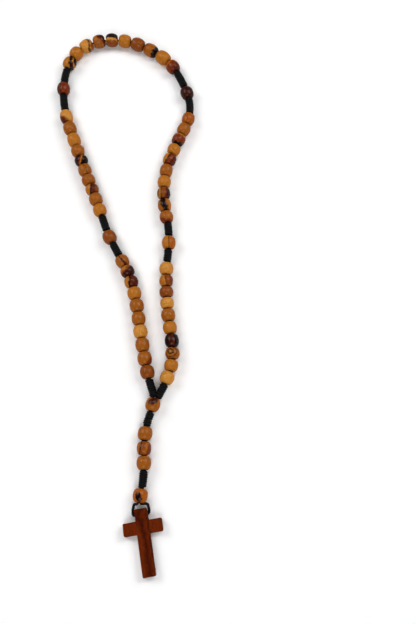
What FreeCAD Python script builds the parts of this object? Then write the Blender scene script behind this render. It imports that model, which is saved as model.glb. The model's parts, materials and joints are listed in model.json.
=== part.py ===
import FreeCAD, Part
import math
import os

from FreeCAD import Vector

# A wooden-bead rosary of 59 beads on one knotted cord, with a wooden cross, lying flat on a
# table. Millimetres. +Z is up from the table, +Y runs from the cross to the top of the loop,
# and the origin is on the table under the middle of the beads and the cross.

# ---- driving dimensions -------------------------------------------------------------------
BORE_R = 1.5  # drilled hole of a bead, wide enough for two strands side by side
MOUTH_R = 1.75  # countersink of the hole at the bead's end faces
MOUTH_DEPTH = 0.3
FACE_R = 2.1  # flat end face of a bead, outside the countersink
CORD_D = 1.2
CORD_Z = 4.0  # height of the cord's centreline inside the beads
STRAND_GAP = 0.65  # half the distance between the two strands in the pendant

KNOT_R = 2.1  # barrel knot: the cord wound about itself
Y_KNOT_R = 1.7  # the two knots that meet above the junction bead
PENDANT_KNOT_R = 2.15  # barrel knot about two strands
KNOT_ROUNDING = 0.9  # how far a knot's ends are rounded off
KNOT_BORE_CLEARANCE = 0.02
KNOT_GAP = 0.35  # from a knot to the bead beside it
FLEX_GAP = 0.85  # the same where the pendant swings or lifts
FLEX_ROUNDING = 1.4

CROSS_LENGTH = 35.0
CROSS_WIDTH = 21.0
CROSS_BAR = 7.0  # width of the upright and height of the arms
CROSS_THICKNESS = 4.8
CROSS_ARM_DEPTH = 9.8  # from the top edge to the middle of the arms
CROSS_HOLE_DEPTH = 3.0  # from the top edge to the side-to-side hole
CROSS_HOLE_R = 1.1
CROSS_EDGE = 0.45  # rounding of all its edges
CROSS_TOP = (14.95, -129.5)  # middle of its top edge
CROSS_LEAN = 9.2  # degrees, foot to the right

JUNCTION_CENTRE = (20.4, -74.0)
JUNCTION_LEAN = 15.0  # degrees, top to the right
JUNCTION_SIZE = (8.1, 7.4)  # diameter, length along the hole

# For each decade: the beads' diameter, the gap between two beads, and each bead's length
# along the hole, which differs from bead to bead because they are turned by hand.
DECADES = {
    "decade_1": (8.1, 0.4, (7.3, 7.6, 7.7, 7.3, 7.45, 7.4, 7.0, 6.6, 6.4, 6.9)),
    "decade_2": (8.05, 0.35, (7.15, 7.05, 6.15, 6.35, 7.15, 5.95, 6.95, 8.45, 7.95, 8.35)),
    "decade_3": (8.45, 0.9, (7.4, 7.4, 7.8, 7.5, 7.4, 7.5, 8.3, 8.7, 8.9, 7.7)),
    "decade_4": (7.95, 0.45, (7.2, 7.35, 7.25, 6.65, 6.95, 7.35, 7.15, 7.05, 7.55, 6.95)),
    "decade_5": (8.05, 0.55, (7.05, 6.65, 6.05, 6.25, 7.05, 6.85, 7.35, 6.45, 6.45, 6.95)),
}
OUR_FATHER_SIZE = (8.1, 7.6)
# the diameters differ a little too: steps added to them in turn
DIAMETER_STEPS = (0.0, 0.12, -0.1, 0.06, -0.14, 0.1, -0.04)

# Free cord between the junction bead and the decades, and between a decade and an Our
# Father bead. It is scaled a little to take up exactly what the beads leave over.
FREE_CORD = (11.1, 9.7, 10.9, 11.9, 10.8, 12.8, 11.0, 9.0, 8.7, 9.4)

# ---- the cord's routes --------------------------------------------------------------------
# The loop: from inside the junction bead up the left side, over the top and back down.
LOOP_ROUTE = [
    (19.05, -76.55),
    (21.1, -68.8),
    (16.9, -56.5),
    (12.7, -34.0),
    (9.6, -13.5),
    (5.2, 2.5),
    (-7.4, 25.0),
    (-13.6, 43.0),
    (-25.9, 74.5),
    (-37.6, 107.0),
    (-40.0, 124.5),
    (-38.4, 141.0),
    (-31.2, 154.4),
    (-17.8, 160.9),
    (-1.0, 160.7),
    (14.0, 154.0),
    (27.2, 144.2),
    (35.4, 129.0),
    (39.8, 116.0),
    (39.3, 104.0),
    (32.0, 88.0),
    (26.2, 73.0),
    (24.0, 59.5),
    (24.6, 45.5),
    (27.6, 31.5),
    (27.9, 19.0),
    (26.4, 5.5),
    (26.8, -9.5),
    (28.2, -24.5),
    (30.8, -39.5),
    (31.0, -50.5),
    (27.3, -61.5),
    (22.5, -69.2),
    (20.3, -76.9),
]
# The pendant: its middle line, for the beads and knots, then its cord, which runs down as
# one strand, through the cross and back up as the other.
PENDANT_LINE = [
    (16.9, -86.35),
    (16.0, -95.5),
    (16.4, -108.5),
    (15.6, -117.0),
    (14.2, -126.8),
]
PENDANT_ROUTE = [
    (16.2, -87.2, 4.0),
    (15.35, -95.5, 4.0),
    (15.75, -108.5, 4.0),
    (14.95, -117.0, 4.0),
    (14.15, -122.2, 4.0),
    (13.42, -127.5, 3.9),
    (10.48, -128.3, 3.3),
    (11.05, -133.17, 2.4),
    (19.75, -131.77, 2.4),
    (18.9, -127.45, 3.3),
    (14.64, -127.9, 3.9),
    (15.37, -122.3, 4.0),
    (16.25, -117.0, 4.0),
    (17.05, -108.5, 4.0),
    (16.65, -95.5, 4.0),
    (17.55, -87.2, 4.0),
]
ARC_SHARE = 0.45  # of the shorter run, taken up by the arc at each point
CENTRING = (0.45, -0.25)  # moves everything so that the origin is under the middle


def along(angle_deg):
    """Unit vector on the table, leaning to the right of +Y by the angle."""
    turn = math.radians(angle_deg)
    return Vector(math.sin(turn), math.cos(turn), 0)


class Path:
    """Straight runs joined by tangent arcs, from the points of a cord's route."""

    def __init__(self, points):
        points = [Vector(*p) for p in points]
        runs = [b - a for a, b in zip(points, points[1:])]
        self.pieces = []
        self.radii = []
        here = points[0]
        for corner, before, after in zip(points[1:], runs, runs[1:]):
            turn = before.getAngle(after)
            cut = ARC_SHARE * min(before.Length, after.Length)
            radius = cut / math.tan(turn / 2)
            into = Vector(before).normalize()
            out = Vector(after).normalize()
            start = corner - into * cut
            inward = Vector(out - into * into.dot(out)).normalize()
            self.pieces.append(("line", here, into, (start - here).Length))
            self.pieces.append(("arc", start + inward * radius, (inward, into, radius), turn * radius))
            self.radii.append(radius)
            here = corner + out * cut
        last = points[-1] - here
        self.pieces.append(("line", here, Vector(last).normalize(), last.Length))
        self.length = sum(piece[3] for piece in self.pieces)

    @staticmethod
    def on(piece, s):
        """Point and direction at distance s along one piece."""
        kind, base, shape, _ = piece
        if kind == "line":
            return base + shape * s, shape
        inward, into, radius = shape
        turn = s / radius
        point = base - inward * radius * math.cos(turn) + into * radius * math.sin(turn)
        return point, inward * math.sin(turn) + into * math.cos(turn)

    def at(self, s):
        for piece in self.pieces:
            if s <= piece[3]:
                return self.on(piece, s)
            s -= piece[3]
        return self.on(self.pieces[-1], self.pieces[-1][3] + s)

    def wire(self, start=0.0, end=None):
        """The stretch of the path from start to end, as a wire."""
        end = self.length if end is None else end
        edges = []
        for piece in self.pieces:
            first, last = max(start, 0.0), min(end, piece[3])
            if last - first > 1e-6:
                a, b, c = (self.on(piece, s)[0] for s in (first, (first + last) / 2, last))
                edge = Part.LineSegment(a, c) if piece[0] == "line" else Part.Arc(a, b, c)
                edges.append(edge.toShape())
            start -= piece[3]
            end -= piece[3]
        return Part.Wire(edges)


def tube(path, radius, start=0.0, end=None):
    point, direction = path.at(start)
    ring = Part.Wire(Part.makeCircle(radius, point, direction))
    return path.wire(start, end).makePipeShell([ring], True, False)


def knot(path, start, end, radius, bore):
    """A barrel knot round the cord: a short sleeve with rounded ends that follows the path."""
    barrel = tube(path, radius, start, end)
    ends = [path.at(start)[0], path.at(end)[0]]
    rims = [
        edge
        for edge in barrel.Edges
        if any(
            all(abs((v.Point - p).Length - radius) < 1e-4 for v in edge.Vertexes)
            and abs((edge.valueAt(sum(edge.ParameterRange) / 2) - p).Length - radius) < 1e-4
            for p in ends
        )
    ]
    barrel = barrel.makeFillet(KNOT_ROUNDING, rims)
    return barrel.cut(tube(path, bore, start - 1, end + 1))


def bead(centre, direction, diameter, length):
    """A slightly barrel-shaped bead, drilled along its axis and countersunk at both ends."""
    half, r = length / 2, diameter / 2
    outline = [
        (BORE_R, half - MOUTH_DEPTH),
        (MOUTH_R, half),
        (FACE_R, half),
        (FACE_R, -half),
        (MOUTH_R, -half),
        (BORE_R, -half + MOUTH_DEPTH),
    ]
    corners = [Vector(x, 0, z) for x, z in outline]
    edges = [Part.makeLine(a, b) for a, b in zip(corners, corners[1:] + corners[:1])]
    # full shoulders: the curve leaves both end faces flat and is upright at the middle
    out = Vector((r - FACE_R) * 4 / 3, 0, 0)
    barrel = Part.BezierCurve()
    barrel.setPoles([corners[2], corners[2] + out, corners[3] + out, corners[3]])
    edges[2] = barrel.toShape()
    solid = Part.Face(Part.Wire(edges)).revolve(Vector(), Vector(0, 0, 1), 360)
    solid = Part.Solid(solid) if solid.ShapeType != "Solid" else solid
    turn = FreeCAD.Rotation(Vector(0, 0, 1), direction)
    solid.Placement = FreeCAD.Placement(Vector(centre.x, centre.y, r), turn)
    return solid


def bead_on(path, s, diameter, length):
    """A bead centred on the path at s, pointing from one of its ends to the other."""
    start, end = path.at(s - length / 2)[0], path.at(s + length / 2)[0]
    middle = (start + end + path.at(s)[0] * 2) / 4
    direction = Vector(end.x - start.x, end.y - start.y, 0).normalize()
    return bead(middle, direction, diameter, length)


nodes = {}
spins = {}


def keep_bead(name, solid):
    nodes[name] = solid
    spins[name] = solid.Placement


# ---- the loop -----------------------------------------------------------------------------
def make_loop():
    path = Path([(x, y, CORD_Z) for x, y in LOOP_ROUTE])
    cord = tube(path, CORD_D / 2)
    inside = (Vector(*JUNCTION_TOP, CORD_Z) - path.at(0)[0]).Length
    names = list(DECADES)
    bead_lengths = sum(length + DECADES[n][1] for n in names for length in DECADES[n][2])
    bead_lengths += 4 * OUR_FATHER_SIZE[1]
    left_over = path.length - 2 * inside - bead_lengths
    stretches = [left_over * free / sum(FREE_CORD) for free in FREE_CORD]
    print("free cord in the loop, mm:", [round(x, 1) for x in stretches])
    knots = []
    s = inside
    for index, name in enumerate(names):
        diameter, gap, lengths = DECADES[name]
        for side in (0, 1):
            stretch = stretches[2 * index + side]
            at_junction = (index, side) in ((0, 0), (len(names) - 1, 1))
            start, end = s + KNOT_GAP, s + stretch - KNOT_GAP
            if (index, side) == (0, 0):
                start = s + Y_KNOT_START
            if (index, side) == (len(names) - 1, 1):
                end = s + stretch - Y_KNOT_START
            radius = Y_KNOT_R if at_junction else KNOT_R
            knots.append(knot(path, start, end, radius, CORD_D / 2 + KNOT_BORE_CLEARANCE))
            s += stretch
            if side == 0:
                for i, length in enumerate(lengths):
                    d = diameter + DIAMETER_STEPS[(i + 2 * index) % len(DIAMETER_STEPS)]
                    solid = bead_on(path, s + (length + gap) / 2, d, length)
                    keep_bead(f"{name}_bead_{i + 1:02d}", solid)
                    s += length + gap
            elif index < len(names) - 1:
                solid = bead_on(path, s + OUR_FATHER_SIZE[1] / 2, *OUR_FATHER_SIZE)
                keep_bead(f"our_father_{index + 1}", solid)
                s += OUR_FATHER_SIZE[1]
    nodes["loop_cord"] = Part.makeCompound([cord] + knots)
    return path, cord


# ---- the junction bead and the knot under it ----------------------------------------------
Y_KNOT_START = 2.0  # from the junction bead's top face to the two knots above it
JUNCTION_AXIS = along(JUNCTION_LEAN)
JUNCTION_HALF = JUNCTION_SIZE[1] / 2
JUNCTION_TOP = tuple(
    c + JUNCTION_HALF * a for c, a in zip(JUNCTION_CENTRE, JUNCTION_AXIS[:2])
)
SWAY_PIVOT = Vector(
    *(c - JUNCTION_HALF * a for c, a in zip(JUNCTION_CENTRE, JUNCTION_AXIS[:2])), CORD_Z
)
LIFT_PIVOT = Vector(*PENDANT_LINE[0], CORD_Z)


def make_upper_knot():
    """The barrel knot between the junction bead and the pendant, with its two strands."""
    down = Vector(LIFT_PIVOT - SWAY_PIVOT).normalize()
    side = Vector(0, 0, 1).cross(down)
    reach = (LIFT_PIVOT - SWAY_PIVOT).Length
    start = SWAY_PIVOT + down * FLEX_GAP
    barrel = Part.makeCylinder(PENDANT_KNOT_R, reach - 2 * FLEX_GAP, start, down)
    rims = [edge for edge in barrel.Edges if edge.isClosed()]
    barrel = barrel.makeFillet(FLEX_ROUNDING, rims)
    for sign in (-1, 1):
        at = SWAY_PIVOT + side * (sign * STRAND_GAP)
        barrel = barrel.fuse(Part.makeCylinder(CORD_D / 2, reach, at, down))
    return barrel


# ---- the pendant --------------------------------------------------------------------------
PENDANT_BEADS = (  # distance along the middle line to the bead's centre, diameter, length
    (3.6, 8.0, 7.2),
    (11.6, 7.9, 7.2),
    (19.45, 8.0, 7.2),
    (36.7, 8.0, 7.2),
)


def make_pendant():
    line = Path([(x, y, CORD_Z) for x, y in PENDANT_LINE])
    beads = [bead_on(line, *size) for size in PENDANT_BEADS]
    nodes["pendant_beads"] = Part.makeCompound(beads)
    path = Path(PENDANT_ROUTE)
    cord = tube(path, CORD_D / 2)
    above, below = PENDANT_BEADS[2], PENDANT_BEADS[3]
    start = above[0] + above[2] / 2 + KNOT_GAP
    end = below[0] - below[2] / 2 - KNOT_GAP
    bore = STRAND_GAP + CORD_D / 2 + 3 * KNOT_BORE_CLEARANCE
    lower_knot = knot(line, start, end, PENDANT_KNOT_R, bore)
    nodes["pendant_cord"] = Part.makeCompound([cord, lower_knot])
    return path, cord


# ---- the cross ----------------------------------------------------------------------------
def make_cross():
    """Made standing on its foot's far end at y = 0 pointing to -Y, then leaned and placed."""
    half = CROSS_BAR / 2
    upright = Part.makeBox(
        CROSS_BAR, CROSS_LENGTH, CROSS_THICKNESS, Vector(-half, -CROSS_LENGTH, 0)
    )
    arms = Part.makeBox(
        CROSS_WIDTH,
        CROSS_BAR,
        CROSS_THICKNESS,
        Vector(-CROSS_WIDTH / 2, -CROSS_ARM_DEPTH - half, 0),
    )
    body = upright.fuse(arms).removeSplitter()
    body = body.makeFillet(CROSS_EDGE, [e for e in body.Edges if convex(e, body)])
    hole_at = Vector(-CROSS_WIDTH, -CROSS_HOLE_DEPTH, CROSS_THICKNESS / 2)
    hole = Part.makeCylinder(CROSS_HOLE_R, 2 * CROSS_WIDTH, hole_at, Vector(1, 0, 0))
    for side in (-1, 1):
        mouth = Part.makeCone(
            CROSS_HOLE_R + 0.4,
            CROSS_HOLE_R,
            0.4,
            Vector(side * half, -CROSS_HOLE_DEPTH, CROSS_THICKNESS / 2),
            Vector(-side, 0, 0),
        )
        hole = hole.fuse(mouth)
    body = body.cut(hole)
    body.Placement = FreeCAD.Placement(
        Vector(*CROSS_TOP, 0), FreeCAD.Rotation(Vector(0, 0, 1), CROSS_LEAN)
    )
    return body


def convex(edge, body):
    """True for an outer edge of the cross, and False in its four inner corners."""
    point = edge.valueAt(sum(edge.ParameterRange) / 2)
    inner = abs(abs(point.x) - CROSS_BAR / 2) < 0.01 and (
        abs(abs(point.y + CROSS_ARM_DEPTH) - CROSS_BAR / 2) < 0.01
    )
    return not (inner and abs(point.z - CROSS_THICKNESS / 2) < 0.01)


def report_cord(name, path, cord):
    section = math.pi * CORD_D**2 / 4
    print(
        f"{name}: length {path.length:.1f}, volume {cord.Volume:.1f} of {section * path.length:.1f},",
        "radii",
        [round(r, 1) for r in path.radii],
    )


nodes["junction_bead"] = bead(
    Vector(*JUNCTION_CENTRE, 0), JUNCTION_AXIS, *JUNCTION_SIZE
)
report_cord("loop_cord", *make_loop())
nodes["upper_knot"] = make_upper_knot()
report_cord("pendant_cord", *make_pendant())
nodes["cross"] = make_cross()

os.makedirs("parts", exist_ok=True)
box = FreeCAD.BoundBox()
for name, shape in nodes.items():
    shape.translate(Vector(*CENTRING, 0))
    if not shape.isValid():
        print("not valid:", name)
    if name not in ("loop_cord", "pendant_cord", "upper_knot"):
        box.add(shape.BoundBox)
    shape.exportStep(f"parts/{name}.step")
print(len(nodes), "nodes; box of beads and cross:", box)
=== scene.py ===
"""A wooden-bead rosary on a knotted black cord: its looks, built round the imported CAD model.

Every bead is turned from its own blank with its own figure in the wood, the cord is a twisted
black one, and each knot is the cord wound about itself. Metres, in the CAD model's frame.
"""

import json
import math

import bmesh
import bpy
from mathutils import Matrix, Vector, noise


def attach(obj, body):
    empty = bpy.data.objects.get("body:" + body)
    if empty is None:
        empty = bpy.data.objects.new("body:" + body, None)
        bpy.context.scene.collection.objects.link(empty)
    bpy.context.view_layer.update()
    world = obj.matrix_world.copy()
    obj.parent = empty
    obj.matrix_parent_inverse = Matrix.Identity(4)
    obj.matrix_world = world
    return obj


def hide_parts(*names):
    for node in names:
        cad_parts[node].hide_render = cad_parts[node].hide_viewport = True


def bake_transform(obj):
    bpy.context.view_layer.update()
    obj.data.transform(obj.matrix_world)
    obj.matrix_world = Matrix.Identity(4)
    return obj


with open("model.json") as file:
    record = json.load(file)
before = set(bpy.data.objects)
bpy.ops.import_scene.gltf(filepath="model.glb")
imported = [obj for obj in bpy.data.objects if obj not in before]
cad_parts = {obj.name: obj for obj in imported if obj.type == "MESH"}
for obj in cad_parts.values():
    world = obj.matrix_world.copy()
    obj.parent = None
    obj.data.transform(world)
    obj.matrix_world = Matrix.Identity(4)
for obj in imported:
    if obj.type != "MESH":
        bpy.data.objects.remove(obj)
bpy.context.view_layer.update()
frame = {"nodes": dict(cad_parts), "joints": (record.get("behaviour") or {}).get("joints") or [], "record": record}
BODY_OF = {
    node: body
    for body, nodes in frame["record"]["behaviour"]["bodies"].items()
    for node in nodes
}
SCENE = bpy.context.scene
MM = 0.001
UP = Vector((0, 0, 1))

# ---- the camera ----------------------------------------------------------------------------
CAMERA_AT = (0.05125, -0.15025, 0.427)
CAMERA_ELEVATION = 73  # degrees above the horizon
IMAGE_HEIGHT = 624  # pixels
FOCAL_PIXELS = 775

# ---- sizes ---------------------------------------------------------------------------------
CORD_D = 1.35 * MM
PENDANT_CORD_D = 1.6 * MM
CORD_Z = 4.0 * MM
PLIES = 3
PLY_RELIEF = 0.045  # of the cord's radius, either way
PLY_PITCH = 2.6 * MM  # from one ply of the cord to the next along its side
WRAP_D = 1.25 * MM  # a turn of the cord in a knot
WRAP_PITCH = 1.16 * MM
WRAP_DRIFT = 0.16 * MM  # how unevenly the turns lie along a knot
WRAP_SWELL = 0.12 * MM  # and across it
KNOT_R = 2.4 * MM
Y_KNOT_R = 2.35 * MM  # the two knots that meet on top of the junction bead
PENDANT_KNOT_R = 2.35 * MM
KNOT_GAP = 0.05 * MM  # between a knot and the bead next to it
FLEX_GAP = 0.15 * MM  # between the upper knot and the two joints at its ends
BORE_R = 1.42 * MM
MOUTH_R = 1.75 * MM
MOUTH_WEAR = (0.08 * MM, 0.05 * MM)  # inwards and along the hole
FACE_R = 2.1 * MM
BEAD_LUMP = 3.2 * MM  # how far apart the lumps on a bead are
BEAD_UNEVENNESS = 0.014  # and how high, as a share of the radius
JUNCTION_LEAN = 15  # degrees, the top of the junction bead's hole to the right
# The same for the pendant's beads, from the top one down.
PENDANT_LEANS = (7.0, 0.5, -1.2, 8.3)
FLOOR_HALF = 1.1
FLOOR_DROP = 0.02 * MM

# The cross, in mm.
CROSS_LENGTH = 35.0
CROSS_WIDTH = 20.9
CROSS_BAR = 6.95
CROSS_THICKNESS = 4.78
CROSS_ARM_DEPTH = 9.8  # from the top to the middle of the arms
CROSS_HOLE_DEPTH = 3.0
CROSS_HOLE_R = 1.15
CROSS_HOLE_FLARE = 0.8  # how much wider the hole's cone is outside the wood
CROSS_INNER_CORNER = 0.3  # how far from the corner its rounding begins
CROSS_LEAN = 9.2  # degrees, foot to the right
# How far the faces' edges are drawn in, by the distance from the face.
CROSS_EDGE = [(0.3, 0), (0.16, 0.04), (0.06, 0.12), (0.01, 0.25), (0, 0.45)]

# ---- the cords' routes ---------------------------------------------------------------------
# The CAD model's points all along the beads. Near the junction bead, at the ends and at the
# cross, points of their own bring the cords closer to the real ones.
CENTRING = Vector((0.00045, -0.00025, 0))
LOOP_ROUTE = [
    (0.01755, -0.08120),
    (0.01860, -0.07760),
    (0.01925, -0.07560),
    (0.02080, -0.07080),
    (0.02030, -0.06800),
    (0.01690, -0.05650),
    (0.01270, -0.03400),
    (0.00960, -0.01350),
    (0.00520, 0.00250),
    (-0.00740, 0.02500),
    (-0.01360, 0.04300),
    (-0.02590, 0.07450),
    (-0.03760, 0.10700),
    (-0.04000, 0.12450),
    (-0.03840, 0.14100),
    (-0.03120, 0.15440),
    (-0.01780, 0.16090),
    (-0.00100, 0.16070),
    (0.01400, 0.15400),
    (0.02720, 0.14420),
    (0.03540, 0.12900),
    (0.03980, 0.11600),
    (0.03930, 0.10400),
    (0.03200, 0.08800),
    (0.02620, 0.07300),
    (0.02400, 0.05950),
    (0.02460, 0.04550),
    (0.02760, 0.03150),
    (0.02790, 0.01900),
    (0.02640, 0.00550),
    (0.02680, -0.00950),
    (0.02820, -0.02450),
    (0.03080, -0.03950),
    (0.03100, -0.05050),
    (0.02740, -0.06150),
    (0.02440, -0.06780),
    (0.02320, -0.07010),
    (0.02180, -0.07130),
    (0.02070, -0.07540),
    (0.01990, -0.07790),
    (0.01880, -0.08155),
]
PENDANT_ROUTE = [
    (0.01730, -0.08260, 0.0040),
    (0.01630, -0.08600, 0.0040),
    (0.01600, -0.08900, 0.0040),
    (0.01535, -0.09550, 0.0040),
    (0.01575, -0.10850, 0.0040),
    (0.01495, -0.11700, 0.0040),
    (0.01415, -0.12220, 0.0040),
    (0.01365, -0.12560, 0.0040),
    (0.01345, -0.12735, 0.0039),
    (0.01165, -0.12710, 0.0035),
    (0.01090, -0.12950, 0.0030),
    (0.01095, -0.13320, 0.0024),
    (0.01300, -0.13285, 0.0024),
    (0.01780, -0.13210, 0.0024),
    (0.01985, -0.13175, 0.0024),
    (0.01925, -0.12880, 0.0030),
    (0.01850, -0.12670, 0.0035),
    (0.01520, -0.12725, 0.0039),
    (0.01485, -0.12560, 0.0040),
    (0.01537, -0.12230, 0.0040),
    (0.01625, -0.11700, 0.0040),
    (0.01705, -0.10850, 0.0040),
    (0.01665, -0.09550, 0.0040),
    (0.01735, -0.08900, 0.0040),
    (0.01755, -0.08600, 0.0040),
    (0.01855, -0.08295, 0.0040),
]
# From the top of the junction bead's hole to the feet of the two knots above it.
LEFT_NECK = Vector((-0.00015, 0.00025, 0))
RIGHT_NECK = Vector((0.00140, -0.00010, 0))
# The pendant's knot: its foot is a little to the side of its bead, and it is slightly bowed.
PENDANT_KNOT_SHIFT = Vector((0.00030, 0, 0))
PENDANT_KNOT_BOW = Vector((0.00010, 0, 0))

# ---- the woods -----------------------------------------------------------------------------
# Colours as eight-bit sRGB, by letter.
WOODS = {
    "L": (198, 134, 52),  # light gold
    "G": (176, 107, 28),  # gold
    "B": (154, 86, 20),  # golden brown
    "N": (134, 68, 17),  # medium brown
    "O": (162, 84, 14),  # orange
    "R": (118, 46, 12),  # reddish brown
    "M": (86, 30, 10),  # mahogany
    "D": (56, 18, 8),  # dark brown
    "K": (20, 6, 4),  # nearly black
    "C": (100, 35, 5),  # the cross's red-brown
    "S": (66, 18, 3),  # the cross's streaks
}
# Each bead's figure as seen from above: the colours met along one direction, with the places
# where they change in mm from the bead's middle. Then that direction in degrees from +X, how
# far the boundaries wander in mm, and how strong the fine rings are.
FIGURES = {
    "decade_1_bead_01": ("N", 20, 0.8, 0.3),
    "decade_1_bead_02": ("R -3.0 B", 150, 1.0, 0.2),
    "decade_1_bead_03": ("B", 80, 0.8, 0.25),
    "decade_1_bead_04": ("L", 10, 0.6, 0.3),
    "decade_1_bead_05": ("B", 60, 0.8, 0.2),
    "decade_1_bead_06": ("B", 30, 0.8, 0.3),
    "decade_1_bead_07": ("G", 15, 0.8, 0.2),
    "decade_1_bead_08": ("G -1.2 K 0.0 M", 5, 1.0, 0.3),
    "decade_1_bead_09": ("G -1.8 N -0.2 D", -40, 1.4, 0.3),
    "decade_1_bead_10": ("B -0.6 D 0.5 B", 40, 1.1, 0.3),
    "our_father_1": ("N", 70, 0.8, 0.2),
    "decade_2_bead_01": ("G", 85, 0.6, 0.2),
    "decade_2_bead_02": ("B", 30, 0.8, 0.25),
    "decade_2_bead_03": ("G -0.8 K 0.0 M 2.4 N", -5, 0.7, 0.3),
    "decade_2_bead_04": ("B", 10, 0.8, 0.6),
    "decade_2_bead_05": ("B 0.4 D 0.7 B", 30, 1.2, 0.2),
    "decade_2_bead_06": ("K -1.6 M -0.5 G 0.3 D 1.2 K", -10, 1.3, 0.3),
    "decade_2_bead_07": ("B", 80, 0.8, 0.2),
    "decade_2_bead_08": ("G", 20, 0.6, 0.15),
    "decade_2_bead_09": ("B", 50, 0.8, 0.5),
    "decade_2_bead_10": ("M -2.6 N -1.5 L", 55, 1.2, 0.3),
    "our_father_2": ("K -2.7 R -1.7 D -1.1 R", 0, 0.6, 0.5),
    "decade_3_bead_01": ("G 0.0 K 1.0 D 2.2 L 2.9 K", 5, 1.3, 0.2),
    "decade_3_bead_02": ("G", 40, 0.8, 0.3),
    "decade_3_bead_03": ("L 0.9 D 2.1 L 2.7 N", 15, 1.4, 0.25),
    "decade_3_bead_04": ("B 0.3 M 2.0 D", 45, 1.0, 0.3),
    "decade_3_bead_05": ("N -2.2 L -1.0 K 0.2 D 0.9 K", 88, 1.3, 0.2),
    "decade_3_bead_06": ("G", 60, 0.6, 0.2),
    "decade_3_bead_07": ("N", -60, 0.8, 0.25),
    "decade_3_bead_08": ("N -2.5 B 2.4 K", -30, 1.2, 0.3),
    "decade_3_bead_09": ("G", 60, 0.8, 0.3),
    "decade_3_bead_10": ("O -2.2 R 1.5 M", -35, 1.0, 0.3),
    "our_father_3": ("D", 30, 0.8, 0.2),
    "decade_4_bead_01": ("O", 0, 0.6, 0.7),
    "decade_4_bead_02": ("B", 40, 0.8, 0.2),
    "decade_4_bead_03": ("K -2.6 R 1.9 G 3.0 D", 75, 1.2, 0.3),
    "decade_4_bead_04": ("G", 80, 0.8, 0.2),
    "decade_4_bead_05": ("G -1.0 K -0.4 R 1.8 M", -35, 1.0, 0.2),
    "decade_4_bead_06": ("B", 75, 0.8, 0.3),
    "decade_4_bead_07": ("G", 85, 0.6, 0.15),
    "decade_4_bead_08": ("D -3.0 G -1.7 K -1.1 N 1.3 M 2.4 D", 0, 0.5, 0.5),
    "decade_4_bead_09": ("B -1.7 K 1.4 B 2.3 G", 15, 1.4, 0.2),
    "decade_4_bead_10": ("R -1.8 B", 80, 1.2, 0.25),
    "our_father_4": ("G -0.1 K 0.15 O", 2, 0.3, 0.25),
    "decade_5_bead_01": ("L", 75, 0.6, 0.3),
    "decade_5_bead_02": ("G -0.3 K 0.1 N 2.4 R", 12, 0.9, 0.4),
    "decade_5_bead_03": ("N", 80, 0.8, 0.2),
    "decade_5_bead_04": ("L", 85, 0.6, 0.15),
    "decade_5_bead_05": ("B", 80, 0.8, 0.2),
    "decade_5_bead_06": ("G", 30, 0.8, 0.2),
    "decade_5_bead_07": ("K -2.2 D 0.4 M 1.5 K", 10, 0.8, 0.4),
    "decade_5_bead_08": ("G 0.9 K 1.7 B 3.0 D 3.6 B", 5, 1.2, 0.4),
    "decade_5_bead_09": ("G", 80, 0.6, 0.4),
    "decade_5_bead_10": ("L", 70, 0.6, 0.2),
    "junction_bead": ("D 2.2 M 2.8 B", -15, 1.5, 0.3),
    "pendant_bead_1": ("B", 25, 0.8, 0.35),
    "pendant_bead_2": ("B -2.0 K -1.3 N 0.6 B 2.2 R", -12, 0.9, 0.3),
    "pendant_bead_3": ("B", 80, 0.8, 0.2),
    "pendant_bead_4": ("K 1.9 D 2.5 O", 10, 2.0, 0.2),
}
# These beads' figures run round a spot, here in mm from the bead's middle, and its places
# are distances from it.
SPOTS = {
    "junction_bead": (0.5, 1.4, 4.0),
    "pendant_bead_4": (-0.3, -0.4, 4.0),
    "decade_5_bead_08": (-1.0, 0.7, 4.0),
}
CROSS_FIGURE = ("C -1.7 S 0.9 C 1.9 S 3.0 C", 4, 2.2, 0.3)
CROSS_LOOK = {"reach": 10.0, "scale": 1.9, "gloss": 0.08, "edge": 0.5}
RING_TINT = (0.46, 0.24, 0.16, 1)
PORE_TINT = (0.25, 0.16, 0.12, 1)


# ---- lines and swept tubes -----------------------------------------------------------------
def in_frame(route, z=CORD_Z):
    return [Vector((*p, z) if len(p) == 2 else p) + CENTRING for p in route]


class Line:
    """A smooth line through space, measured along its length."""

    def __init__(self, route, resolution=24):
        curve = bpy.data.curves.new("route", "CURVE")
        curve.dimensions = "3D"
        spline = curve.splines.new("NURBS")
        spline.points.add(len(route) - 1)
        for point, place in zip(spline.points, route):
            point.co = (*place, 1)
        spline.order_u = 3
        spline.use_endpoint_u = True
        spline.resolution_u = resolution
        carrier = bpy.data.objects.new("route", curve)
        SCENE.collection.objects.link(carrier)
        mesh = bpy.data.meshes.new_from_object(carrier)
        self.points = [v.co.copy() for v in mesh.vertices]
        bpy.data.objects.remove(carrier)
        bpy.data.curves.remove(curve)
        bpy.data.meshes.remove(mesh)
        self.distances = [0.0]
        for a, b in zip(self.points, self.points[1:]):
            self.distances.append(self.distances[-1] + (b - a).length)
        self.length = self.distances[-1]

    def at(self, s):
        """The point at distance s along the line."""
        low, high = 0, len(self.points) - 1
        while high - low > 1:
            middle = (low + high) // 2
            if self.distances[middle] <= s:
                low = middle
            else:
                high = middle
        a, b = self.points[low], self.points[high]
        run = self.distances[high] - self.distances[low]
        share = (s - self.distances[low]) / run
        return a.lerp(b, share)

    def direction(self, s, reach=0.5 * MM):
        before, after = max(s - reach, 0), min(s + reach, self.length)
        return (self.at(after) - self.at(before)).normalized()

    def nearest(self, place, step=0.25 * MM):
        """The distance along the line of its point nearest to a place."""
        count = int(self.length / step)
        spots = [self.length * i / count for i in range(count + 1)]
        return min(spots, key=lambda s: (self.at(s) - place).length_squared)


def link(name, mesh, material):
    obj = bpy.data.objects.new(name, mesh)
    SCENE.collection.objects.link(obj)
    mesh.materials.append(material)
    mesh.shade_smooth()
    return obj


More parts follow.
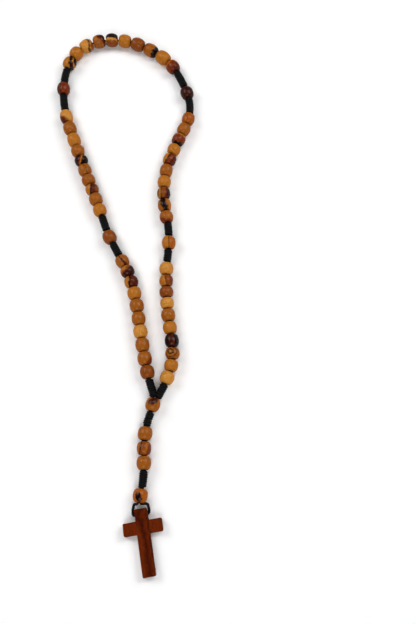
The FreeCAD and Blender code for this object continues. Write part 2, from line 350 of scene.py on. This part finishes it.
def ring_mesh(name, rings, *, flip=False, endless=False):
    """A skin over rings of points, each with as many points as the next.

    It has a flat face at both ends, or runs back into the first ring if endless. flip turns
    its faces round.
    """
    rows, count = len(rings), len(rings[0])
    faces = []
    for i in range(rows if endless else rows - 1):
        for j in range(count):
            next_i, next_j = (i + 1) % rows, (j + 1) % count
            a, b = i * count + j, i * count + next_j
            c, d = next_i * count + next_j, next_i * count + j
            faces.append((a, d, c, b) if flip else (a, b, c, d))
    if not endless:
        last = (rows - 1) * count
        for end in (tuple(reversed(range(count))), tuple(range(last, last + count))):
            faces.append(end[::-1] if flip else end)
    mesh = bpy.data.meshes.new(name)
    mesh.from_pydata([p for ring in rings for p in ring], [], faces)
    mesh.update()
    return mesh


def sweep(name, rings, material):
    return link(name, ring_mesh(name, rings), material)


def twisted_cord(name, line, material, diameter, step=0.22 * MM, segments=18):
    """A cord along a line: a tube with a shallow lobe for each ply, twisting round it."""
    count = round(line.length / step)
    rings, path = [], []
    for i in range(count + 1):
        s = line.length * i / count
        centre = line.at(s)
        forward = line.direction(s)
        side = forward.cross(UP).normalized()
        normal = side.cross(forward)
        turn = s / PLY_PITCH * math.tau / PLIES
        ring = []
        for j in range(segments):
            a = math.tau * j / segments
            lobe = math.cos(PLIES * (a - turn))
            radius = diameter / 2 * (1 - PLY_RELIEF + PLY_RELIEF * lobe)
            ring.append(centre + (side * math.cos(a) + normal * math.sin(a)) * radius)
        rings.append(ring)
        path.append(centre)
    return sweep(name, rings, material), path


def barrel_knot(name, line, start, end, radius, material, seed, tapers=(0.22, 0.22)):
    """The cord wound about itself from start to end along a line.

    tapers are the turns over which it narrows at the start and at the end.
    """
    coil = radius - WRAP_D / 2
    turns = (end - start - WRAP_D) / WRAP_PITCH
    per_turn, segments = 22, 10
    count = round(turns * per_turn)
    places = []
    for i in range(count + 1):
        share = i / count
        s = start + WRAP_D / 2 + (end - start - WRAP_D) * share
        drift = noise.noise(Vector((seed * 7.3, share * turns * 0.55, 0.5)))
        s += drift * WRAP_DRIFT
        a = share * turns * math.tau + seed
        centre = line.at(s)
        forward = line.direction(s, 1.0 * MM)
        side = forward.cross(UP).normalized()
        normal = side.cross(forward)
        swell = noise.noise(Vector((seed * 3.1, share * turns * 0.9, 7.5))) * WRAP_SWELL
        before, after = share * turns / tapers[0], (1 - share) * turns / tapers[1]
        tuck = min(1.0, before, after)
        reach = (coil + swell) * (0.45 + 0.55 * math.sin(tuck * math.pi / 2))
        outward = side * math.cos(a) + normal * math.sin(a)
        places.append((centre + outward * reach, outward.normalized()))
    rings = []
    for i, (place, outward) in enumerate(places):
        before = places[max(i - 1, 0)][0]
        after = places[min(i + 1, count)][0]
        forward = (after - before).normalized()
        across = forward.cross(outward).normalized()
        outward = across.cross(forward)
        rings.append(
            [
                place
                + (outward * math.cos(t) + across * math.sin(t)) * (WRAP_D / 2)
                for t in (math.tau * j / segments for j in range(segments))
            ]
        )
    return sweep(name, rings, material)


# ---- materials -----------------------------------------------------------------------------
def linear(colour):
    """Linear RGBA from eight-bit sRGB."""
    parts = [c / 255 for c in colour]
    parts = [c / 12.92 if c <= 0.04045 else ((c + 0.055) / 1.055) ** 2.4 for c in parts]
    return (*parts, 1)


class Shader:
    """A material's node tree, with its Principled shader."""

    def __init__(self, name, **settings):
        self.material = bpy.data.materials.new(name)
        self.material.use_nodes = True
        self.tree = self.material.node_tree
        self.surface = self.tree.nodes["Principled BSDF"]
        self.set(self.surface, settings)

    def set(self, node, inputs):
        for key, value in inputs.items():
            if isinstance(value, bpy.types.NodeSocket):
                self.tree.links.new(value, node.inputs[key])
            else:
                node.inputs[key].default_value = value

    def add(self, kind, inputs, **settings):
        node = self.tree.nodes.new("ShaderNode" + kind)
        for key, value in settings.items():
            setattr(node, key, value)
        self.set(node, inputs)
        return node.outputs

    def math(self, operation, *values):
        return self.add("Math", dict(enumerate(values)), operation=operation)[0]

    def vector(self, operation, *values):
        out = self.add("VectorMath", dict(enumerate(values)), operation=operation)
        return out["Value" if operation in ("DOT_PRODUCT", "DISTANCE") else "Vector"]

    def scaled(self, vector, factor):
        return self.add(
            "VectorMath", {"Vector": vector, "Scale": factor}, operation="SCALE"
        )["Vector"]

    def millimetres(self):
        """The place in the piece's own space, in mm."""
        return self.scaled(self.add("TexCoord", {})["Object"], 1 / MM)

    def noise(self, vector, scale, detail=2.0, output="Fac"):
        inputs = {"Vector": vector, "Scale": scale, "Detail": detail}
        return self.add("TexNoise", inputs)[output]

    def ramp(self, factor, stops):
        out = self.add("ValToRGB", {"Fac": factor})
        elements = out[0].node.color_ramp.elements
        while len(elements) < len(stops):
            elements.new(0.5)
        for element, (position, colour) in zip(elements, stops):
            element.position = position
            element.color = colour
        return out["Color"]

    def mix(self, factor, a, b, blend="MIX"):
        inputs = {0: factor, 6: a, 7: b}  # sockets 6 and 7 are the two colours
        return self.add("Mix", inputs, data_type="RGBA", blend_type=blend)[2]

    def finished(self, colour, rough, height, strength, distance):
        inputs = {"Strength": strength, "Distance": distance, "Height": height}
        bump = self.add("Bump", inputs)[0]
        surface = {"Base Color": colour, "Roughness": rough, "Normal": bump}
        self.set(self.surface, surface)
        return self.material


def grey(value):
    return (value, value, value, 1)


def figure_stops(figure, reach, edge):
    """Colour-ramp stops for a figure such as "G -1.0 K 0.2 M", over -reach to +reach mm."""
    words = figure.split()
    colours = [linear(WOODS[letter]) for letter in words[::2]]
    cuts = [float(cut) for cut in words[1::2]]
    stops = [(0.0, colours[0])]
    for cut, before, after in zip(cuts, colours, colours[1:]):
        place = cut / (2 * reach) + 0.5
        soft = edge / reach
        stops += [(place - soft, before), (place + soft, after)]
    if len(stops) == 1:
        stops.append((1.0, colours[0]))
    return stops


def wood(
    name,
    figure,
    angle,
    wander,
    rings,
    turn,
    seed,
    *,
    spot=None,
    reach=5.0,
    scale=1.0,
    gloss=0.25,
    edge=0.16,
):
    """Oiled wood, from a row of FIGURES.

    turn takes directions of the frame to the piece's own. reach is how far the figure goes
    from the piece's middle and edge how soft its boundaries are, in mm. scale stretches the
    grain, and gloss is the weight of the oil's coat.
    """
    coat = {"Coat Weight": gloss, "Coat Roughness": 0.18, "Specular IOR Level": 0.02}
    shade = Shader(name, **coat)
    angle = math.radians(angle)
    across = turn @ Vector((math.cos(angle), math.sin(angle), 0))
    grain = turn @ Vector((-math.sin(angle), math.cos(angle), 0))
    depth = turn @ UP
    place = shade.millimetres()
    moved = shade.vector("ADD", place, (seed * 17.1, seed * 5.3, seed * 9.7))

    # the place in the wood, bent by long waves and short flecks
    bent = place
    for fineness, detail, push in ((0.2, 2.5, 3.0), (0.9, 2.0, 1.1)):
        wave = shade.noise(moved, fineness / scale, detail, "Color")
        wave = shade.vector("SUBTRACT", wave, (0.5, 0.5, 0.5))
        bent = shade.vector("ADD", bent, shade.scaled(wave, push * wander))
    if spot:
        over = shade.vector("DISTANCE", bent, tuple(turn @ Vector(spot)))
    else:
        over = shade.vector("DOT_PRODUCT", bent, tuple(across))
    zone = shade.math("MULTIPLY_ADD", over, 1 / (2 * reach), 0.5)
    colour = shade.ramp(zone, figure_stops(figure, reach, edge))

    # fine streaks along the grain
    along = shade.vector("DOT_PRODUCT", bent, tuple(grain))
    deep = shade.vector("DOT_PRODUCT", bent, tuple(depth))
    stretched = {
        0: shade.math("MULTIPLY", over, 5.0 / scale),
        1: shade.math("MULTIPLY", along, 0.55 / scale),
        2: shade.math("MULTIPLY", deep, 1.3 / scale),
    }
    streaks = shade.add("CombineXYZ", stretched)[0]
    streaks = shade.vector("ADD", streaks, (seed * 3.7, seed * 1.9, seed * 7.1))
    streak = shade.noise(streaks, 1.0, 4.0)
    shades = [(0.28, grey(0.62)), (0.5, grey(0.95)), (0.72, grey(1.18))]
    colour = shade.mix(1.0, colour, shade.ramp(streak, shades), "MULTIPLY")

    # growth rings, as thin reddish lines
    uneven = shade.math("MULTIPLY", shade.noise(moved, 0.45 / scale), 7.0)
    ring = shade.math("MULTIPLY_ADD", over, 6.6 / scale, uneven)
    ring = shade.math("MULTIPLY_ADD", shade.math("SINE", ring), 0.5, 0.5)
    ring = shade.math("POWER", ring, 3.0)
    ring = shade.math("MULTIPLY", ring, rings)
    colour = shade.mix(ring, colour, RING_TINT, "MULTIPLY")

    # pores, as short dark dashes
    pores = shade.noise(shade.vector("MULTIPLY", streaks, (1.6, 1.8, 2.0)), 1.7, 1.0)
    pores = shade.ramp(pores, [(0.64, grey(0)), (0.72, grey(1))])
    tinted = shade.math("MULTIPLY", pores, 0.35)
    colour = shade.mix(tinted, colour, PORE_TINT, "MULTIPLY")

    rough = shade.math("MULTIPLY_ADD", streak, 0.2, 0.38)
    height = shade.math("SUBTRACT", streak, shade.math("MULTIPLY", pores, 0.5))
    return shade.finished(colour, rough, height, 0.25, 0.04 * MM)


def black_cord(name):
    """Waxed black cord: fine filaments that catch a little light along its plies."""
    shade = Shader(name, **{"Specular IOR Level": 0.12})
    place = shade.millimetres()
    fibres = shade.noise(place, 3.2, 3.0)
    blotch = shade.noise(place, 0.35, 2.0)
    colour = shade.ramp(fibres, [(0.35, linear((2, 2, 2))), (0.62, linear((7, 6, 7)))])
    colour = shade.mix(shade.math("MULTIPLY", blotch, 0.5), colour, linear((4, 4, 4)))
    rough = shade.math("MULTIPLY_ADD", fibres, 0.25, 0.38)
    return shade.finished(colour, rough, fibres, 0.5, 0.05 * MM)


def paper(name):
    """The pale floor."""
    shade = Shader(name, **{"Roughness": 0.9, "Specular IOR Level": 0.1})
    place = shade.add("TexCoord", {})["Object"]
    shades = [(0.3, grey(0.93)), (0.7, grey(0.95))]
    colour = shade.ramp(shade.noise(place, 90.0, 3.0), shades)
    shade.set(shade.surface, {"Base Color": colour})
    return shade.material


# ---- beads ---------------------------------------------------------------------------------
def rounded(outline, passes=2):
    """A closed outline with its corners cut, and cut again."""
    for _ in range(passes):
        ring = []
        for a, b in zip(outline, outline[1:] + outline[:1]):
            ring += [a.lerp(b, 0.25), a.lerp(b, 0.75)]
        outline = ring
    return outline


def bead_mesh(name, radius, half, seed, segments=56):
    """A turned bead about +Z: full-shouldered, drilled, its hole's rims worn round."""
    outline = [Vector((BORE_R, half * t)) for t in (-0.8, -0.4, 0, 0.4, 0.8)]
    inward, along = MOUTH_WEAR
    outline.append(Vector((MOUTH_R - inward, half - along)))
    outline.append(Vector(((MOUTH_R + FACE_R) / 2, half)))
    steps = 7  # on either side of the widest place
    for i in range(2 * steps + 1):
        a = math.pi / 2 * (1 - i / steps) * 0.99
        bulge = (radius - FACE_R) * math.cos(a)
        outline.append(Vector((FACE_R + bulge, half * math.sin(a))))
    outline.append(Vector(((MOUTH_R + FACE_R) / 2, -half)))
    outline.append(Vector((MOUTH_R - inward, -half + along)))
    outline = rounded(outline)
    rings = []
    for i in range(segments):
        a = math.tau * i / segments
        ring = []
        for x, z in outline:
            place = Vector((x * math.cos(a), x * math.sin(a), z))
            rough = noise.noise(place / BEAD_LUMP + Vector((seed * 11.0, 0, 0)))
            outer = max(0.0, (x - BORE_R) / (radius - BORE_R))
            ring.append(place * (1 + BEAD_UNEVENNESS * rough * outer))
        rings.append(ring)
    return ring_mesh(name, rings, flip=True, endless=True)


def bead_place(centre, axis):
    """The placement of a bead with its hole along axis, and its own +Y up."""
    if axis.dot(Vector((0.3, 1, 0))) < 0:
        axis = -axis
    z = axis.normalized()
    x = UP.cross(z).normalized()
    turn = Matrix((x, z.cross(x), z)).transposed()
    return Matrix.Translation(centre) @ turn.to_4x4()


def make_bead(name, node, centre, axis, radius, half, seed):
    place = bead_place(centre, axis)
    turn = place.to_3x3().transposed()
    material = wood("wood_" + name, *FIGURES[name], turn, seed, spot=SPOTS.get(name))
    bead = link(name, bead_mesh(name, radius, half, seed), material)
    bead.matrix_world = place
    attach(bead, BODY_OF[node])
    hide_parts(node)


def islands(node):
    """The separate solids of a CAD node, as lists of points."""
    mesh = frame["nodes"][node].data
    parent = list(range(len(mesh.vertices)))
    same = {}
    for v in mesh.vertices:
        key = tuple(round(c, 6) for c in v.co)
        parent[v.index] = same.setdefault(key, v.index)

    def root(i):
        while parent[i] != i:
            parent[i] = parent[parent[i]]
            i = parent[i]
        return i

    for edge in mesh.edges:
        a, b = (root(i) for i in edge.vertices)
        parent[a] = b
    groups = {}
    for v in mesh.vertices:
        groups.setdefault(root(v.index), []).append(v.co)
    return list(groups.values())


def measure(points, axis):
    """The centre of a bead of the CAD model, and its radius and half length about an axis."""
    low = Vector([min(p[i] for p in points) for i in range(3)])
    high = Vector([max(p[i] for p in points) for i in range(3)])
    centre = (low + high) / 2
    half = max(abs((p - centre).dot(axis)) for p in points)
    radius = max((p - centre).cross(axis).length for p in points)
    return centre, radius, half


def lean(degrees):
    """The direction up the object, leaning to the right."""
    turn = math.radians(degrees)
    return Vector((math.sin(turn), math.cos(turn), 0))


def node_points(node):
    return [v.co for v in frame["nodes"][node].data.vertices]


def make_beads():
    """All beads. Returns their centres and half lengths by name."""
    found = []
    for joint in frame["joints"]:
        if joint.get("continuous"):
            node = joint["child"]
            found.append((node, node, Vector(joint["axis"]), node_points(node)))
    points = node_points("junction_bead")
    found.append(("junction_bead", "junction_bead", lean(JUNCTION_LEAN), points))
    solids = sorted(islands("pendant_beads"), key=lambda ps: -ps[0].y)
    for i, (points, angle) in enumerate(zip(solids, PENDANT_LEANS)):
        found.append((f"pendant_bead_{i + 1}", "pendant_beads", lean(angle), points))
    places = {}
    for seed, (name, node, axis, points) in enumerate(found, 1):
        centre, radius, half = measure(points, axis)
        make_bead(name, node, centre, axis, radius, half, seed)
        places[name] = (centre, half)
    return places


# ---- the cord and its knots ----------------------------------------------------------------
def declare_cord(node, knots):
    """Hang the knots tied in a cord on the body of the cord's CAD node, and hide that node."""
    for knot in knots:
        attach(knot, BODY_OF[node])
    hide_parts(node)


def neck(number, bead_end, foot, material):
    """One of the two knots that meet on top of the junction bead, side by side."""
    middle = Line([foot, (foot + bead_end) / 2, bead_end])
    name, tapers = f"loop_knot_{number:02d}", (0.6, 0.3)
    return barrel_knot(
        name, middle, 0, middle.length, Y_KNOT_R, material, number, tapers
    )


def make_loop(beads, material):
    line = Line(in_frame(LOOP_ROUTE))
    cord, path = twisted_cord("loop_cord_twist", line, material, CORD_D)
    groups = []  # the first and last bead of each run without a knot
    for i in range(5):
        groups.append((f"decade_{i + 1}_bead_01", f"decade_{i + 1}_bead_10"))
        if i < 4:
            groups.append((f"our_father_{i + 1}",) * 2)
    junction, half = beads["junction_bead"]
    top = junction + lean(JUNCTION_LEAN) * half
    knots = []
    for number, (first, last) in enumerate(groups, 1):
        centre, half = beads[first]
        end = line.nearest(centre) - half - KNOT_GAP
        if number == 1:
            knot = neck(number, line.at(end), top + LEFT_NECK, material)
        else:
            name = f"loop_knot_{number:02d}"
            knot = barrel_knot(name, line, start, end, KNOT_R, material, number)
        knots.append(knot)
        centre, half = beads[last]
        start = line.nearest(centre) + half + KNOT_GAP
    knots.append(neck(10, line.at(start), top + RIGHT_NECK, material))
    declare_cord("loop_cord", knots)
    return cord


def make_pendant(beads, material):
    line = Line(in_frame(PENDANT_ROUTE))
    cord, path = twisted_cord("pendant_cord_twist", line, material, PENDANT_CORD_D)
    third, fourth = beads["pendant_bead_3"], beads["pendant_bead_4"]
    top = third[0] - lean(PENDANT_LEANS[2]) * (third[1] + KNOT_GAP)
    bottom = fourth[0] + lean(PENDANT_LEANS[3]) * (fourth[1] + KNOT_GAP)
    top.z = bottom.z = CORD_Z
    bottom += PENDANT_KNOT_SHIFT
    middle = Line([top, (top + bottom) / 2 + PENDANT_KNOT_BOW, bottom])
    knot = barrel_knot(
        "pendant_knot", middle, 0, middle.length, PENDANT_KNOT_R, material, 12.0
    )
    declare_cord("pendant_cord", [knot])
    return cord


def make_upper_knot(material, sway, lift):
    """The knot between the junction bead and the pendant.

    It is two halves that run into each other, and each narrows softly at its outer end.
    """
    down = (lift - sway).normalized()
    top, foot = sway + down * FLEX_GAP, lift - down * FLEX_GAP
    line = Line([top, (top + foot) / 2, foot])
    half, flush = line.length / 2, 0.01

    def part(name, start, end, seed, tapers):
        knot = barrel_knot(
            name, line, start, end, PENDANT_KNOT_R, material, seed, tapers
        )
        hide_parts("upper_knot")
        return knot

    upper = part("upper_knot_top", 0, half + WRAP_D / 2, 11.0, (0.5, flush))
    lower = part("upper_knot_foot", half - WRAP_D / 2, line.length, 11.5, (flush, 0.4))
    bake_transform(upper)
    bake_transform(lower)


# ---- the cross -----------------------------------------------------------------------------
def cross_outline():
    """The cross seen from above, in mm about the middle of its arms, corners worn round."""
    half, side = CROSS_BAR / 2, CROSS_WIDTH / 2
    top, foot = CROSS_ARM_DEPTH, CROSS_ARM_DEPTH - CROSS_LENGTH
    corners = [  # with how far from the corner its rounding begins
        (half, top, 0.8),
        (half, half, CROSS_INNER_CORNER),
        (side, half, 0.9),
        (side, -half, 0.9),
        (half, -half, CROSS_INNER_CORNER),
        (half, foot, 1.0),
        (-half, foot, 0.9),
        (-half, -half, CROSS_INNER_CORNER),
        (-side, -half, 0.9),
        (-side, half, 1.0),
        (-half, half, CROSS_INNER_CORNER),
        (-half, top, 0.8),
    ]
    round_steps, side_steps = 6, 8
    points = []
    for i, (x, y, leg) in enumerate(corners):
        here = Vector((x, y))
        next_x, next_y, next_leg = corners[(i + 1) % len(corners)]
        there = Vector((next_x, next_y))
        before = (Vector(corners[i - 1][:2]) - here).normalized()
        after = (there - here).normalized()
        start, end = here + before * leg, here + after * leg
        for step in range(round_steps + 1):
            t = step / round_steps
            points.append(start.lerp(here, t).lerp(here.lerp(end, t), t))
        stop = there - after * next_leg
        for step in range(1, side_steps):
            points.append(end.lerp(stop, step / side_steps))
    return points


def solid(name, rings, flip=False):
    """A body for a Boolean modifier: it needs triangles, all facing out."""
    mesh = ring_mesh(name, rings, flip=flip)
    shape = bmesh.new()
    shape.from_mesh(mesh)
    bmesh.ops.triangulate(shape, faces=shape.faces)
    bmesh.ops.recalc_face_normals(shape, faces=shape.faces)
    shape.to_mesh(mesh)
    shape.free()
    body = bpy.data.objects.new(name, mesh)
    SCENE.collection.objects.link(body)
    return body


def cross_block():
    """Rings of the outline, drawn in at the faces' worn edges."""
    outline = cross_outline()
    count = len(outline)
    top_edge = [(inset, CROSS_THICKNESS - z) for inset, z in reversed(CROSS_EDGE)]
    rings = []
    for inset, z in CROSS_EDGE + top_edge:
        ring = []
        for i, here in enumerate(outline):
            run = (outline[(i + 1) % count] - outline[i - 1]).normalized()
            inward = Vector((run.y, -run.x))
            place = Vector((*(here + inward * inset), z))
            wear = noise.noise(place / 4.0) * 0.13 + noise.noise(place / 1.1) * 0.03
            ring.append(place + Vector((*inward, 0)) * wear)
        rings.append(ring)
    return solid("cross_wood", rings, flip=True)


def cross_drill():
    """What the hole through the top arm takes away, a little wider at both its mouths."""
    sides, wide = 40, CROSS_HOLE_R + CROSS_HOLE_FLARE
    outside, inside = CROSS_BAR / 2 + 0.5, CROSS_BAR / 2 - 0.3
    steps = [(inside, CROSS_HOLE_R), (outside, wide)]
    steps = [(-x, radius) for x, radius in reversed(steps)] + steps
    y, z = CROSS_ARM_DEPTH - CROSS_HOLE_DEPTH, CROSS_THICKNESS / 2
    turns = [math.tau * i / sides for i in range(sides)]
    rings = [
        [(x, y + radius * math.cos(a), z + radius * math.sin(a)) for a in turns]
        for x, radius in steps
    ]
    return solid("drill", rings)


def cross_mesh():
    block, drill = cross_block(), cross_drill()
    cut = block.modifiers.new("hole", "BOOLEAN")
    cut.object = drill
    cut.operation = "DIFFERENCE"
    graph = bpy.context.evaluated_depsgraph_get()
    result = bpy.data.meshes.new_from_object(block.evaluated_get(graph))
    bpy.data.objects.remove(block)
    bpy.data.objects.remove(drill)
    result.transform(Matrix.Scale(MM, 4))
    return result


def make_cross():
    material = wood(
        "wood_of_cross", *CROSS_FIGURE, Matrix.Identity(3), 3.3, **CROSS_LOOK
    )
    cross = link("cross_wood", cross_mesh(), material)
    for face in cross.data.polygons:
        face.use_smooth = abs(face.normal.z) < 0.999  # the two big faces stay flat
    hinge = next(j for j in frame["joints"] if j["child"] == "cross")
    turn = Matrix.Rotation(math.radians(CROSS_LEAN), 4, "Z")
    drop = turn @ Vector((0, (CROSS_HOLE_DEPTH - CROSS_ARM_DEPTH) * MM, 0))
    middle = Vector(hinge["pos_m"]) + drop
    middle.z = 0
    cross.matrix_world = Matrix.Translation(middle) @ turn
    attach(cross, "cross")
    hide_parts("cross")


# ---- surroundings --------------------------------------------------------------------------
def make_floor():
    mesh = bpy.data.meshes.new("floor")
    r = FLOOR_HALF
    corners = [(-r, -r, 0), (r, -r, 0), (r, r, 0), (-r, r, 0)]
    mesh.from_pydata(corners, [], [(0, 1, 2, 3)])
    floor = link("floor", mesh, paper("paper"))
    floor.location.z = -FLOOR_DROP


def make_world():
    """A pale wall all round at the horizon, and a dark ceiling."""
    world = bpy.data.worlds.new("studio")
    world.use_nodes = True
    nodes, links = world.node_tree.nodes, world.node_tree.links
    place = nodes.new("ShaderNodeTexCoord").outputs["Generated"]
    height = nodes.new("ShaderNodeSeparateXYZ")
    links.new(place, height.inputs[0])
    ramp = nodes.new("ShaderNodeValToRGB")
    stops = ((0.05, grey(0.75)), (0.3, grey(0.04)))
    for element, (position, colour) in zip(ramp.color_ramp.elements, stops):
        element.position = position
        element.color = colour
    links.new(height.outputs["Z"], ramp.inputs["Fac"])
    links.new(ramp.outputs["Color"], nodes["Background"].inputs["Color"])
    SCENE.world = world


def area_light(name, place, size, watts):
    """A round light that looks at the origin."""
    light = bpy.data.lights.new(name, "AREA")
    light.shape = "DISK"
    light.size = size
    light.energy = watts
    lamp = bpy.data.objects.new(name, light)
    SCENE.collection.objects.link(lamp)
    lamp.location = place
    lamp.rotation_euler = Vector(place).to_track_quat("Z", "Y").to_euler()


def make_camera():
    camera = bpy.data.cameras.new("camera")
    camera.sensor_fit = "VERTICAL"
    camera.sensor_height = 24
    camera.lens = FOCAL_PIXELS / IMAGE_HEIGHT * camera.sensor_height
    camera.clip_start = 0.01
    eye = bpy.data.objects.new("camera", camera)
    SCENE.collection.objects.link(eye)
    eye.location = CAMERA_AT
    eye.rotation_euler = (math.radians(90 - CAMERA_ELEVATION), 0, 0)
    SCENE.camera = eye
    SCENE.view_settings.view_transform = "Standard"


# ---- everything ----------------------------------------------------------------------------
make_floor()
make_world()
# None of the lights is where the flat top of the cross would mirror it to the camera.
area_light("left", (-0.8, 0.45, 1.0), 0.8, 8.5)
area_light("right", (0.8, 0.45, 1.0), 0.8, 8.5)
area_light("front", (0.0, -0.9, 0.95), 0.8, 7.5)
area_light("lamp", (0.15, 0.4, 1.1), 0.15, 1.5)
make_camera()

black = black_cord("black_cord")
beads = make_beads()
sway, lift = (
    Vector(next(j for j in frame["joints"] if j["name"] == name)["pos_m"])
    for name in ("pendant_sway", "pendant_lift")
)
loop_cord = make_loop(beads, black)
pendant_cord = make_pendant(beads, black)
make_upper_knot(black, sway, lift)
make_cross()

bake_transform(loop_cord)
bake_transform(pendant_cord)
